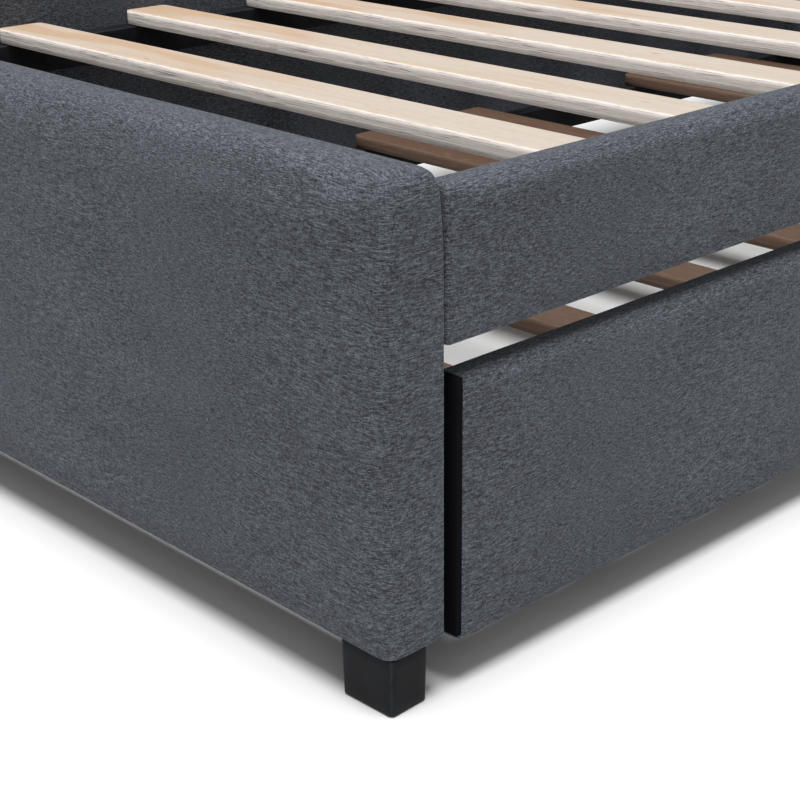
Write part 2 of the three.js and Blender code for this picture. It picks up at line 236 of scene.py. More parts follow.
class Sheet:
    """One material's node sheet."""

    def __init__(self, name):
        self.material = bpy.data.materials.new(name)
        self.material.use_nodes = True
        self.tree = self.material.node_tree
        self.tree.nodes.clear()

    def add(self, kind, setup=None, inputs=None, out=0):
        """Adds a node. Its settings go first, then the values or links of its sockets."""
        node = self.tree.nodes.new(kind)
        for name, value in (setup or {}).items():
            setattr(node, name, value)
        for key, value in (inputs or {}).items():
            socket = node.inputs[key]
            if isinstance(value, Value):
                self.tree.links.new(value.socket, socket)
            elif hasattr(socket.default_value, "__len__"):
                room = len(socket.default_value)
                socket.default_value = (*value, 1.0)[:room]
            else:
                socket.default_value = value
        if isinstance(out, (list, tuple)):
            return [Value(self, node.outputs[key]) for key in out]
        return Value(self, node.outputs[out])

    def place(self):
        """The piece's own X, Y and Z."""
        spot = self.add("ShaderNodeTexCoord", out="Object")
        return self.add("ShaderNodeSeparateXYZ", inputs={0: spot}, out=(0, 1, 2))

    def facing(self):
        """The surface normal's X, Y and Z."""
        normal = self.add("ShaderNodeNewGeometry", out="Normal")
        return self.add("ShaderNodeSeparateXYZ", inputs={0: normal}, out=(0, 1, 2))

    def vector(self, x=0.0, y=0.0, z=0.0):
        return self.add("ShaderNodeCombineXYZ", inputs={0: x, 1: y, 2: z})

    def noise(self, spot, detail=2.0, roughness=0.5, scale=1.0, distortion=0.0):
        sockets = {
            "Vector": spot,
            "Scale": scale,
            "Detail": detail,
            "Roughness": roughness,
            "Distortion": distortion,
        }
        return self.add("ShaderNodeTexNoise", inputs=sockets)

    def cells(self, spot, scale=1.0):
        sockets = {"Vector": spot, "Scale": scale}
        return self.add("ShaderNodeTexVoronoi", inputs=sockets, out=("Distance", "Color"))

    def mix(self, amount, first, second):
        """A colour between two colours."""
        sockets = {0: amount, 6: first, 7: second}
        return self.add("ShaderNodeMix", {"data_type": "RGBA"}, sockets, out=2)

    def blend(self, amount, first, second):
        """A number between two numbers."""
        return self.add("ShaderNodeMix", {"data_type": "FLOAT"}, {0: amount, 2: first, 3: second})

    def stored(self, name):
        """A number kept on the mesh's points."""
        return self.add("ShaderNodeAttribute", {"attribute_name": name}, out="Fac")

    def bump(self, height, depth, strength):
        sockets = {"Height": height, "Distance": depth, "Strength": strength}
        return self.add("ShaderNodeBump", inputs=sockets)

    def close(self, **sockets):
        """Ends the sheet in one Principled shader."""
        named = {name.replace("_", " "): value for name, value in sockets.items()}
        shader = self.add("ShaderNodeBsdfPrincipled", inputs=named)
        self.add("ShaderNodeOutputMaterial", inputs={"Surface": shader}, out=[])
        return self.material


# ---------------------------------------------------------------- materials


def cloth_material(name, run):
    """Heathered linen-look cloth. run is the axis that the panel is long in, X or Y."""
    look = settings("upholstery")
    sheet = Sheet(name)
    x, y, z = sheet.place()
    flat_up = abs(sheet.facing()[2]).ramp(0.62, 0.78)
    length, across = (x, y) if run == "X" else (0.0 - y, x)
    turn = 2.0 * math.pi / look.yarn_pitch

    def weave(weft, warp, depth):
        """The fleck tone and the over-and-under of a flat piece of cloth."""

        def flecks(along, up, shift, detail=2.0):
            spot = sheet.vector(weft / along + shift, warp / up, depth * 3.0)
            return sheet.noise(spot, detail=detail, roughness=0.62)

        fine = flecks(look.fleck_length, look.fleck_width, 0.0, 1.0)
        slub = flecks(look.fleck_length * 2.6, look.fleck_width * 1.3, 31.0, 0.0)
        upright = flecks(look.fleck_width, look.fleck_length * 0.9, 67.0, 0.0)
        flecked = (fine - 0.5) * 1.9 + (slub - 0.5) * 1.0 + (upright - 0.5) * 0.7
        return flecked, (weft * turn).wave() * (warp * turn).wave()

    side_tone, side_weave = weave(x - y, z, x + y)
    top_tone, top_weave = weave(length, across, z)
    cloud = sheet.noise(sheet.vector((x - y) / 0.11, z / 0.05, x + y), 2.0, 0.62)
    tone = 0.5 + sheet.blend(flat_up, side_tone, top_tone) + (cloud - 0.5) * 0.25
    over_under = sheet.blend(flat_up, side_weave, top_weave)
    deep = sheet.mix(tone.ramp(0.02, 0.50), look.dark_yarn, look.cloth)
    heather = sheet.mix(tone.ramp(0.50, 1.02), deep, look.pale_yarn)
    height = tone * 0.7 + over_under * 0.18
    return sheet.close(
        Base_Color=heather,
        Roughness=0.94,
        Normal=sheet.bump(height, 0.00045, 0.75),
        Sheen_Weight=0.10,
        Sheen_Roughness=0.45,
        Sheen_Tint=(0.80, 0.86, 1.0),
        Specular_IOR_Level=0.18,
    )


def slat_material(name, low, high, shade):
    """Sanded laminated timber between two heights: plain faces, and plies along the edges.

    shade multiplies the colours of the faces and the plies. A dark one stands in
    for the shadow under the bed, and not for a darker wood.
    """
    look = settings("timber")

    def shaded(colour):
        return tuple(channel * part for channel, part in zip(colour, shade))

    sheet = Sheet(name)
    x, y, z = sheet.place()
    thickness = high - low

    grain = sheet.noise(sheet.vector(x / 0.0042, y / 0.19, z / 0.009), 4.0, 0.55, distortion=0.7)
    pores = sheet.noise(sheet.vector(x / 0.0007, y / 0.016, z / 0.0007), 2.0, 0.6)
    broad = sheet.noise(sheet.vector(x / 0.045, y / 0.26, 0.0), 2.0, 0.5)
    # Warmer and darker towards the far ends: partly the wood's own tone, partly painted shade
    # where the light falls off.
    far_end_tone_and_shade = (y + 0.25).ramp(0.0, 0.70) * 0.70
    warm = broad.ramp(0.46, 0.68) * (0.26 + far_end_tone_and_shade) + grain.ramp(0.48, 0.74) * 0.50 + far_end_tone_and_shade * 0.45
    face = sheet.mix(warm, shaded(look.face), shaded(look.warm_face))
    face = sheet.mix((pores - 0.52).ramp(0.02, 0.18) * 0.34, face, look.glue)
    apart, tint = sheet.cells(sheet.vector(x / 0.011, y / 0.050, z / 0.05))
    rare = sheet.add("ShaderNodeSeparateColor", inputs={0: tint}).ramp(0.860, 0.880)
    knot = (apart + (grain - 0.5) * 0.16).ramp(0.17, 0.07) * rare
    face = sheet.mix(knot * 0.85, face, look.knot)

    sway = sheet.noise(sheet.vector(x / 0.3, y / 0.085, 0.0), 2.0, 0.55) - 0.5
    layer = (z - low) / thickness * look.plies + sway * 0.55
    number = layer.floor()
    within = layer - number
    glue_gap = abs(within - 0.5)
    broken = sheet.noise(sheet.vector(number * 7.3, y / 0.034, x / 0.2), 2.0, 0.6)
    glue = glue_gap.ramp(0.36, 0.48) * broken.ramp(0.46, 0.60)
    crossed = (number % 2.0).ramp(0.4, 0.6)
    fibres = sheet.noise(sheet.vector(x / 0.004, y / 0.030, z / 0.0006), 3.0, 0.6)
    ply = sheet.mix(crossed * 0.45 + (fibres - 0.5) * 0.9, shaded(look.edge), shaded(look.end_ply))
    ply = sheet.mix(glue * 0.80, ply, look.glue)
    split = sheet.noise(sheet.vector(number * 3.1, y / 0.060, z / 0.0011), 2.0, 0.5)
    ply = sheet.mix(split.ramp(0.60, 0.68) * 0.75, ply, look.glue)

    level = abs(sheet.facing()[2]).ramp(0.55, 0.80)
    wood = sheet.mix(level, ply, face)
    # The eased arrises are paler: partly the raw fibre of a sanded edge, partly a painted
    # highlight where the rounded edge catches the light.
    eased = sheet.stored("eased")
    arris_patches = sheet.noise(sheet.vector(x / 0.004, y / 0.012, z / 0.004), 3.0, 0.6)
    pale = eased * arris_patches.ramp(0.30, 0.60)
    fibre_and_highlight = (0.90, 0.86, 0.80)
    wood = sheet.mix(pale * 0.75, wood, shaded(fibre_and_highlight))
    roughness = 0.62 + (grain - 0.5) * 0.14 + (1.0 - level) * 0.16
    relief = sheet.blend(level, glue * -0.8 + fibres * 0.5, grain * 0.30 + pores * 0.28 - knot)
    return sheet.close(
        Base_Color=wood,
        Roughness=roughness,
        Normal=sheet.bump(relief, 0.00035, 0.6),
        Specular_IOR_Level=0.32,
    )


def painted_timber_material(name, paint, gloss):
    """Painted timber: faint grain under the paint, and edges rubbed thin."""
    look = settings("timber")
    sheet = Sheet(name)
    x, y, z = sheet.place()
    grain = sheet.noise(sheet.vector(x / 0.05, y / 0.05, z / 0.0035), 3.0, 0.55)
    spot = sheet.vector(x, y, z)
    mottle = sheet.noise(spot, 3.0, 0.6, scale=60.0)
    scuff = sheet.noise(spot, 4.0, 0.7, scale=340.0)
    eased = sheet.stored("eased")
    worn = eased * (scuff + mottle * 0.6).ramp(0.62, 0.95)
    coat = sheet.mix(mottle.ramp(0.35, 0.75) * 0.12, paint, look.rubbed)
    coat = sheet.mix(eased * 0.15 + worn * 0.45, coat, look.rubbed)
    return sheet.close(
        Base_Color=coat,
        Roughness=gloss + (mottle - 0.5) * 0.18 + worn * 0.15,
        Normal=sheet.bump(grain * 0.6 + scuff * 0.25, 0.00025, 0.5),
        Specular_IOR_Level=0.09,
    )


def particle_board_material():
    """Raw particle board: pale and dark chips pressed together."""
    sheet = Sheet("particle_board")
    x, y, z = sheet.place()
    spot = sheet.vector(x / 0.0032, y / 0.0032, z / 0.0018)
    apart, tint = sheet.cells(spot)
    shade = sheet.add("ShaderNodeSeparateColor", inputs={0: tint})
    dust = sheet.noise(sheet.vector(x, y, z), 3.0, 0.6, scale=900.0)
    pale_chip, dark_chip, pale_dust = (0.50, 0.35, 0.20), (0.29, 0.18, 0.095), (0.60, 0.46, 0.30)
    chips = sheet.mix(shade, pale_chip, dark_chip)
    chips = sheet.mix(dust.ramp(0.45, 0.75) * 0.5, chips, pale_dust)
    return sheet.close(
        Base_Color=chips,
        Roughness=0.86,
        Normal=sheet.bump(apart * 0.5 + dust * 0.5, 0.0004, 0.7),
    )


def zinc_material():
    """Zinc-plated steel with faint spangle and rolling marks."""
    look = settings("hardware")
    sheet = Sheet("zinc_plate")
    x, y, z = sheet.place()
    spot = sheet.vector(x, y, z)
    apart, tint = sheet.cells(spot, 210.0)
    spangle = sheet.add("ShaderNodeSeparateColor", inputs={0: tint})
    rolled = sheet.noise(sheet.vector(x / 0.0008, y / 0.03, z / 0.0008), 2.0, 0.6)
    haze = sheet.noise(spot, 3.0, 0.6, scale=45.0)
    dull = tuple(channel * 0.66 for channel in look.zinc)
    metal = sheet.mix(spangle * 0.35 + haze.ramp(0.5, 0.8) * 0.4, look.zinc, dull)
    return sheet.close(
        Base_Color=metal,
        Metallic=1.0,
        Roughness=0.30 + haze * 0.18 + (rolled - 0.5) * 0.10,
        Normal=sheet.bump(rolled * 0.5 + apart * 0.3, 0.00008, 0.4),
    )


def nylon_material():
    """Moulded nylon, scuffed where it rolls."""
    look = settings("hardware")
    sheet = Sheet("black_nylon")
    x, y, z = sheet.place()
    grit = sheet.noise(sheet.vector(x, y, z), 3.0, 0.65, scale=700.0)
    scuff = sheet.noise(sheet.vector(x / 0.002, y / 0.010, z / 0.010), 3.0, 0.7)
    rolled = sheet.stored("eased") * scuff.ramp(0.45, 0.70)
    scuffed = (0.11, 0.11, 0.112)
    shade = sheet.mix(rolled * 0.6 + grit.ramp(0.5, 0.8) * 0.15, look.nylon, scuffed)
    return sheet.close(
        Base_Color=shade,
        Roughness=0.46 + rolled * 0.25 + (grit - 0.5) * 0.15,
        Normal=sheet.bump(grit, 0.00010, 0.5),
    )


def dust_cloth_material():
    """Spun-bonded cloth, embossed with a fine diamond of dots."""
    look = settings("hardware")
    sheet = Sheet("dust_cloth")
    x, y, z = sheet.place()
    pitch = 2.0 * math.pi / 0.0022
    dots = ((x + y) * pitch).wave() * ((x - y) * pitch).wave()
    felt = sheet.noise(sheet.vector(x, y, z), 4.0, 0.7, scale=420.0)
    loose_fibre = (0.045, 0.045, 0.048)
    shade = sheet.mix(felt.ramp(0.4, 0.8) * 0.5, look.dust_cloth, loose_fibre)
    return sheet.close(
        Base_Color=shade,
        Roughness=0.92,
        Normal=sheet.bump(dots * 0.5 + felt * 0.5, 0.0002, 0.6),
    )


def painted_shade_felt_material():
    """Pressed black felt with loose fibres, for the strips of painted shade at the trundle's ends.
    """
    sheet = Sheet("black_felt")
    spot = sheet.vector(*sheet.place())
    fibre = sheet.noise(spot, 4.0, 0.75, scale=900.0)
    worn = sheet.noise(spot, 2.0, 0.5, scale=40.0)
    pressed, raised = (0.004, 0.004, 0.005), (0.016, 0.016, 0.018)
    shade = sheet.mix(fibre.ramp(0.5, 0.8) * worn, pressed, raised)
    return sheet.close(
        Base_Color=shade,
        Roughness=0.97,
        Normal=sheet.bump(fibre, 0.0004, 0.8),
        Specular_IOR_Level=0.04,
    )


def material(name, make, *details):
    """The material of that name, made the first time that it is asked for."""
    return bpy.data.materials.get(name) or make(*details)


# ---------------------------------------------------------------- meshes


def new_piece(name, mesh, finish, smooth=True):
    piece = bpy.data.objects.new(name, mesh)
    bpy.context.scene.collection.objects.link(piece)
    mesh.materials.append(finish)
    mesh.polygons.foreach_set("use_smooth", [smooth] * len(mesh.polygons))
    mesh.update()
    return piece


def mesh_from(shape, name):
    """Ends a bmesh as a mesh of that name."""
    mesh = bpy.data.meshes.new(name)
    shape.to_mesh(mesh)
    shape.free()
    return mesh


def clamp(amount, low, high):
    return min(max(amount, low), high)


def even(radius):
    """The same rounding along every axis, and at every point."""
    return lambda point: (radius,) * 3


def grid_lines(low, high, radius_low, radius_high, spacing, bend_steps):
    """Places for grid lines: close together over each rounded end, even between them."""
    turns = [1.0 - math.cos(math.pi / 2 * step / bend_steps) for step in range(bend_steps)]
    first = [low + radius_low * turn for turn in turns]
    last = [high - radius_high * turn for turn in reversed(turns)]
    start = low + radius_low
    end = high - radius_high
    count = max(1, round((end - start) / spacing))
    middle = [start + (end - start) * step / count for step in range(count + 1)]
    return first + middle + last


def box_grid(lines):
    """A closed box of quads whose grid lines are given for each axis."""
    shape = bmesh.new()
    known = {}

    def corner(index):
        if index not in known:
            known[index] = shape.verts.new([lines[axis][index[axis]] for axis in range(3)])
        return known[index]

    for axis in range(3):
        first, second = (axis + 1) % 3, (axis + 2) % 3
        for side in (0, len(lines[axis]) - 1):
            for i in range(len(lines[first]) - 1):
                for j in range(len(lines[second]) - 1):
                    ring = []
                    for di, dj in ((0, 0), (1, 0), (1, 1), (0, 1)):
                        index = [0, 0, 0]
                        index[axis] = side
                        index[first] = i + di
                        index[second] = j + dj
                        ring.append(corner(tuple(index)))
                    if side == 0:
                        ring.reverse()
                    shape.faces.new(ring)
    return shape


def turned_under(point, low, high, reach, hem):
    """Where a point in the lower half of a pad goes: rounded in plan, then under by the hem."""
    spot = point.copy()
    angle = clamp((low.z + hem - point.z) / hem, 0.0, 1.0) * math.pi / 2
    beyond = Vector(
        (point[axis] - clamp(point[axis], low[axis] + reach[axis], high[axis] - reach[axis]))
        / reach[axis]
        for axis in (0, 1)
    )
    if beyond.length > 1e-9:
        share = max(abs(beyond.x), abs(beyond.y))
        outward = Vector((beyond.x / reach[0], beyond.y / reach[1])).normalized()
        inward = hem * (1.0 - math.cos(angle)) * share
        for axis in (0, 1):
            rounding = beyond[axis] * (share / beyond.length - 1.0) * reach[axis]
            spot[axis] += rounding - outward[axis] * inward
    if angle > 0.0:
        spot.z = low.z + hem * (1.0 - math.sin(angle))
    return spot


def rounded_box(low, high, radii, spacing, bend_steps, hem=0.0):
    """A box of quads with every edge rounded. With a hem, the lower half is turned under.

    radii(point) gives the radius along each axis near a point, so an edge can be
    tighter in one place than in another.
    """
    low, high = Vector(low), Vector(high)
    corners = [Vector(spot) for spot in itertools.product(*zip(low, high))]
    lines = []
    for axis in range(3):
        first, last = (
            max(radii(spot)[axis] for spot in corners if spot[axis] == side[axis])
            for side in (low, high)
        )
        lines.append(grid_lines(low[axis], high[axis], first, last, spacing[axis], bend_steps))
    shape = box_grid(lines)
    for vertex in shape.verts:
        point = vertex.co.copy()
        reach = radii(point)
        if hem and point.z < (low.z + high.z) / 2:
            vertex.co = turned_under(point, low, high, reach, hem)
            continue
        core = Vector(
            clamp(point[axis], low[axis] + reach[axis], high[axis] - reach[axis])
            for axis in range(3)
        )
        offset = Vector((point[axis] - core[axis]) / reach[axis] for axis in range(3))
        if offset.length > 1e-9:
            offset.normalize()
            vertex.co = core + Vector(offset[axis] * reach[axis] for axis in range(3))
    return mesh_from(shape, "rounded_box")


def mark_eased(mesh):
    """Keeps on each point how far its normal leans away from the nearest flat direction."""
    flattest = np.abs(points_of(mesh, "normal")).max(1)
    eased = np.clip((1.0 - flattest) / (1.0 - math.sqrt(0.5)), 0.0, 1.0)
    layer = mesh.attributes.new("eased", "FLOAT", "POINT")
    layer.data.foreach_set("value", eased.astype(np.float32))


def points_of(mesh, kind="co"):
    flat = np.zeros(len(mesh.vertices) * 3, np.float32)
    mesh.vertices.foreach_get(kind, flat)
    return flat.reshape(-1, 3).astype(float)


def put_points(mesh, points):
    mesh.vertices.foreach_set("co", np.ascontiguousarray(points, np.float32).ravel())
    mesh.update()


def turned_mesh(profile, segments, centre):
    """Turns a closed outline of (radius, offset) points round the X axis through centre."""
    shape = bmesh.new()
    rings = []
    for step in range(segments):
        angle = 2.0 * math.pi * step / segments
        ring = []
        for radius, offset in profile:
            spot = Vector((offset, radius * math.cos(angle), radius * math.sin(angle)))
            ring.append(shape.verts.new(spot))
        rings.append(ring)
    for step in range(segments):
        here, there = rings[step], rings[(step + 1) % segments]
        for i in range(len(profile)):
            j = (i + 1) % len(profile)
            shape.faces.new((here[i], here[j], there[j], there[i]))
    bmesh.ops.remove_doubles(shape, verts=shape.verts, dist=1e-6)
    bmesh.ops.dissolve_degenerate(shape, dist=1e-7, edges=shape.edges)
    bmesh.ops.recalc_face_normals(shape, faces=shape.faces)
    bmesh.ops.translate(shape, verts=shape.verts, vec=centre)
    return mesh_from(shape, "turned")


def joined(name, meshes, finish, smooth=True):
    """One piece made of several closed meshes."""
    shape = bmesh.new()
    for mesh in meshes:
        shape.from_mesh(mesh)
        bpy.data.meshes.remove(mesh)
    whole = mesh_from(shape, name)
    mark_eased(whole)
    return new_piece(name, whole, finish, smooth)


def hex_bolt(centre, outward, radius):
    """A bolt's hexagon head on its washer, facing outward from centre."""
    shape = bmesh.new()
    stack = (
        (24, radius * 1.55, 0.0, 0.0012, 0.0003),
        (6, radius, 0.0012, 0.0046, 0.0007),
    )
    for sides, reach, low, high, ease in stack:
        rings = []
        levels = ((reach, low), (reach, high - ease), (reach - ease, high))
        for size, level in levels:
            ring = []
            for step in range(sides):
                angle = 2.0 * math.pi * step / sides
                spot = (size * math.cos(angle), size * math.sin(angle), level)
                ring.append(shape.verts.new(spot))
            rings.append(ring)
        for below, above in zip(rings, rings[1:]):
            for i in range(sides):
                j = (i + 1) % sides
                shape.faces.new((below[i], below[j], above[j], above[i]))
        shape.faces.new(list(reversed(rings[0])))
        shape.faces.new(rings[-1])
    turn = Vector(outward).to_track_quat("Z", "Y").to_matrix()
    bmesh.ops.rotate(shape, verts=shape.verts, matrix=turn)
    bmesh.ops.translate(shape, verts=shape.verts, vec=centre)
    return mesh_from(shape, "bolt")


# ---------------------------------------------------------------- upholstery

GRID_PITCH = 0.013       # distance between a panel's grid lines
THIN_PITCH = 0.009       # the same, through its thickness
STAPLED_HEIGHT = 0.012   # how far up the bottom's staples hold the cloth
BUTTED_DEPTH = 0.006     # how far a neighbour's face holds it
CLOTH_STIFFNESS = 18.0
BARELY_HELD = 0.01       # a hold that the simulation can leave out

# The padded panels, and the body that each one moves with.
PANELS = {
    "footboard": "bed",
    "headboard": "bed",
    "near_rail": "bed",
    "far_panel": "bed",
    "trundle_front": "trundle",
}


def settle(piece, held, swell):
    """Lets the cloth settle over its foam. held is each point's hold, 1 where it is stapled."""
    look = settings("upholstery")
    start = points_of(piece.data)
    normals = points_of(piece.data, "normal")
    group = piece.vertex_groups.new(name="stapled")
    for index in np.nonzero(held > BARELY_HELD)[0]:
        group.add([int(index)], float(held[index]), "REPLACE")
    cloth = piece.modifiers.new("Foam", "CLOTH")
    cloth.settings.quality = 4
    cloth.settings.mass = 0.25
    cloth.settings.tension_stiffness = CLOTH_STIFFNESS
    cloth.settings.compression_stiffness = CLOTH_STIFFNESS
    cloth.settings.shear_stiffness = CLOTH_STIFFNESS * 0.5
    cloth.settings.bending_stiffness = 0.6
    cloth.settings.use_pressure = True
    cloth.settings.uniform_pressure_force = look.pressure
    cloth.settings.vertex_group_mass = group.name
    cloth.settings.effector_weights.gravity = 0.0
    cloth.collision_settings.use_collision = False
    cloth.point_cache.frame_start = 1
    cloth.point_cache.frame_end = look.settle_frames
    for step in range(1, look.settle_frames + 1):
        bpy.context.scene.frame_set(step)
    seen = piece.evaluated_get(bpy.context.evaluated_depsgraph_get())
    moved = points_of(seen.data)
    piece.modifiers.remove(cloth)
    piece.vertex_groups.clear()
    shift = moved - start
    outward = np.sum(shift * normals, axis=1, keepdims=True)
    aside = shift - outward * normals
    limit = np.where(outward > 0.0, swell, look.dip)
    slide = np.linalg.norm(aside, axis=1, keepdims=True)
    aside *= look.drift * np.tanh(slide / look.drift) / np.maximum(slide, 1e-9)
    put_points(piece.data, start + normals * limit * np.tanh(outward / limit) + aside)
    bpy.context.scene.frame_set(1)


def roughen_foam(piece, height, held):
    """Adds the foam's slow waves and small dents along each point's normal."""
    mesh = piece.data
    points = points_of(mesh)
    normals = points_of(mesh, "normal")
    wave = np.zeros(len(points))
    for index, point in enumerate(points):
        spot = Vector(point)
        slow = noise.noise(spot * 7.0 + Vector((3.0, 1.0, 7.0)))
        small = noise.noise(spot * 26.0)
        wave[index] = slow * 0.8 + small * 0.3
    put_points(mesh, points + normals * (wave * height * (1.0 - held))[:, None])


def upholster(name, node, radii, swell, run, body, butted):
    """A padded panel that stands for one cover of the frame.

    butted lists the faces that meet a neighbour, each as its axis and its side,
    0 for the low one and 1 for the high one. Those start almost at the cover's
    own face and are held there. The bottom is stapled.
    """
    look = settings("upholstery")
    low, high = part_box(node)
    for axis in (0, 1):
        low[axis] += look.butt_inset if (axis, 0) in butted else look.inset
        high[axis] -= look.butt_inset if (axis, 1) in butted else look.inset
    high.z -= look.top_inset
    thin_axis = 1 - "XYZ".index(run)
    spacing = [GRID_PITCH] * 3
    spacing[thin_axis] = THIN_PITCH
    mesh = rounded_box(low, high, radii(low, high), spacing, 5, look.hem)
    cloth = f"charcoal_cloth_{run}"
    finish = material(cloth, cloth_material, cloth, run)
    piece = new_piece(name, mesh, finish)
    points = points_of(mesh)
    held = np.clip(1.0 - (points[:, 2] - low.z) / STAPLED_HEIGHT, 0.0, 1.0)
    for axis, side in butted:
        edge = (low, high)[side][axis]
        near = np.clip(1.0 - abs(points[:, axis] - edge) / BUTTED_DEPTH, 0.0, 1.0)
        held = np.maximum(held, near)
    settle(piece, held, swell)
    roughen_foam(piece, look.unevenness, held)
    smooth = piece.modifiers.new("Fine cloth", "SUBSURF")
    smooth.levels = 1
    smooth.render_levels = 1
    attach(piece, body)
    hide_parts(node)


def eased_step(amount):
    """0 at 0 and 1 at 1, level at both ends."""
    amount = clamp(amount, 0.0, 1.0)
    return amount * amount * (3.0 - 2.0 * amount)


def end_radii(outer_side):
    """Rounding for an end panel whose outer face is its low side on X (0) or its high one (1).

    The top is a deep roll on the outer side and a tighter one on the inner side,
    and the upright corners widen into it.
    """
    look = settings("upholstery")
    rise_height = 0.060

    def for_box(low, high):
        def at(point):
            depth = abs(point[0] - (low, high)[outer_side].x) / (high.x - low.x)
            inner = eased_step(depth)
            roll = look.top_roll + (look.back_roll - look.top_roll) * inner
            corner = look.end_corner + (look.back_corner - look.end_corner) * inner
            rise = eased_step(1.0 - (high.z - point[2]) / rise_height)
            turn = corner + (roll - corner) * rise
            end = corner + (roll - corner) * rise * (1.0 - 0.85 * inner)
            upper = point[2] > (low.z + high.z) / 2
            return (turn, end, roll if upper else look.hem)

        return at

    return for_box


def side_radii(low, high):
    """Rounding for a side panel: one small radius, and its own at the ends and the hem."""
    look = settings("upholstery")

    def at(point):
        upper = point[2] > (low.z + high.z) / 2
        return (look.side_end, look.side_edge, look.side_edge if upper else look.hem)

    return at


class BED_OT_pad_end_panels(bpy.types.Operator):
    """Upholster the footboard and the headboard"""

    bl_idname = "trundle_bed.pad_end_panels"
    bl_label = "Footboard and headboard"

    def execute(self, context):
        swell = settings("upholstery").end_swell
        for outer_side, end in enumerate(("footboard", "headboard")):
            rounding = end_radii(outer_side)
            butted = [(0, 1 - outer_side)]
            pad, cover = f"{end}_pad", f"{end}_cover"
            upholster(pad, cover, rounding, swell, "Y", PANELS[end], butted)
        return {"FINISHED"}


class BED_OT_pad_side_panels(bpy.types.Operator):
    """Upholster the near rail, the far panel and the trundle's front"""

    bl_idname = "trundle_bed.pad_side_panels"
    bl_label = "Side panels and trundle front"

    def execute(self, context):
        swell = settings("upholstery").side_swell
        both_ends = [(0, 0), (0, 1)]
        for panel in ("near_rail", "far_panel", "trundle_front"):
            pad, cover = f"{panel}_pad", f"{panel}_cover"
            upholster(pad, cover, side_radii, swell, "X", PANELS[panel], both_ends)
        return {"FINISHED"}


class BED_OT_line_undersides(bpy.types.Operator):
    """Finish the boards, and close each panel underneath with stapled dust cloth"""

    bl_idname = "trundle_bed.line_undersides"
    bl_label = "Boards and dust cloth"

    def execute(self, context):
        look = settings("hardware")
        board = material("particle_board", particle_board_material)
        cloth = material("dust_cloth", dust_cloth_material)
        zinc = material("zinc_plate", zinc_material)
        margin = 0.008
        for panel, body in PANELS.items():
            dress_node(f"{panel}_board", board)
            low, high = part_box(f"{panel}_cover")
            strip_low = low + Vector((margin, margin, -0.00025))
            strip_high = Vector((high.x - margin, high.y - margin, low.z + 0.0005))
            strip = rounded_box(strip_low, strip_high, even(0.0002), (0.05, 0.05, 0.01), 1)
            lining = joined(f"{panel}_dust_cloth", [strip], cloth)
            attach(lining, body)
            staples = self.staples(strip_low, strip_high, look.staple_pitch)
            row = joined(f"{panel}_staples", staples, zinc)
            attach(row, body)
        self.trundle_end_painted_shade()
        return {"FINISHED"}

    @staticmethod
    def trundle_end_painted_shade():
        """Black felt on both ends of the trundle's front, as painted shade in the shadowed gaps
        there.
        """
        finish = material("black_felt", painted_shade_felt_material)
        low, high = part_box("trundle_front_cover")
        proud = settings("hardware").felt
        shade_strips = []
        for start, end in ((low.x - proud, low.x + 0.004), (high.x - 0.004, high.x + proud)):
            spot_low = (start, low.y + 0.0012, low.z + 0.004)
            spot_high = (end, high.y - 0.002, high.z - 0.0035)
            shade_strips.append(rounded_box(spot_low, spot_high, even(0.0012), (0.02,) * 3, 2))
        strips = joined("trundle_front_felts", shade_strips, finish)
        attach(strips, "trundle")

    @staticmethod
    def staples(low, high, pitch):
        """A row of staples along each long edge of a lining."""
        along = 0 if high.x - low.x > high.y - low.y else 1
        across = 1 - along
        half = Vector((0.0005, 0.0005, 0.0001))
        half[along] = 0.005
        made = []
        bare_ends = 0.12
        count = int((high[along] - low[along] - bare_ends) / pitch)
        for index in range(count + 1):
            for side in (low[across] + 0.004, high[across] - 0.004):
                centre = Vector((0.0, 0.0, low.z - 0.0001))
                centre[along] = (low[along] + high[along]) / 2 + (index - count / 2) * pitch
                centre[across] = side
                ends = (centre - half, centre + half)
                made.append(rounded_box(*ends, even(0.0001), (0.02,) * 3, 1))
        return made


# ---------------------------------------------------------------- timbers

# How much of a slat's red, green and blue is left in the light, and in the shadow under the bed.
IN_LIGHT = (1.0, 1.0, 1.0)
UNDER_BED = (0.180, 0.120, 0.090)

SLAT_BOW = 0.0012     # scale of a slat's curve up or down
SLAT_BEND = 0.0012    # scale of its curve to one side
SLAT_WAIST = 0.006    # share by which its width comes and goes


def dress_node(node, finish):
    """Gives a node of the frame its finish."""
    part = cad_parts[node]
    part.data.materials.clear()
    part.data.materials.append(finish)


def lay_slats(name, node, count, finish, body):
    """Slats with eased edges, each a little bowed and out of true in its own way."""
    look = settings("timber")
    for number in range(1, count + 1):
        low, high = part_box(f"{node}_{number}")

        def radii(point):
            return (look.corner * 0.7, look.corner, look.arris)

        mesh = rounded_box(low, high, radii, (0.012, 0.030, 0.005), 4)
        points = points_of(mesh)
        length = high.y - low.y
        middle = (low.x + high.x) / 2
        along = (points[:, 1] - low.y) / length
        spin = noise.noise(Vector((number * 1.7, len(name) * 0.31, 4.0)))
        bow = noise.noise(Vector((number * 2.3, len(name) * 0.57, 9.0)))
        points[:, 2] -= SLAT_BOW * bow * along * (1.0 - along)
        points[:, 0] += SLAT_BEND * spin * np.sin(along * math.pi)
        waist = 1.0 + SLAT_WAIST * np.sin(along * 9.0 + number)
        points[:, 0] = middle + (points[:, 0] - middle) * waist
        put_points(mesh, points)
        mark_eased(mesh)
        slat = new_piece(f"{name}_{number}", mesh, finish)
        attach(slat, body)
        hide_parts(f"{node}_{number}")


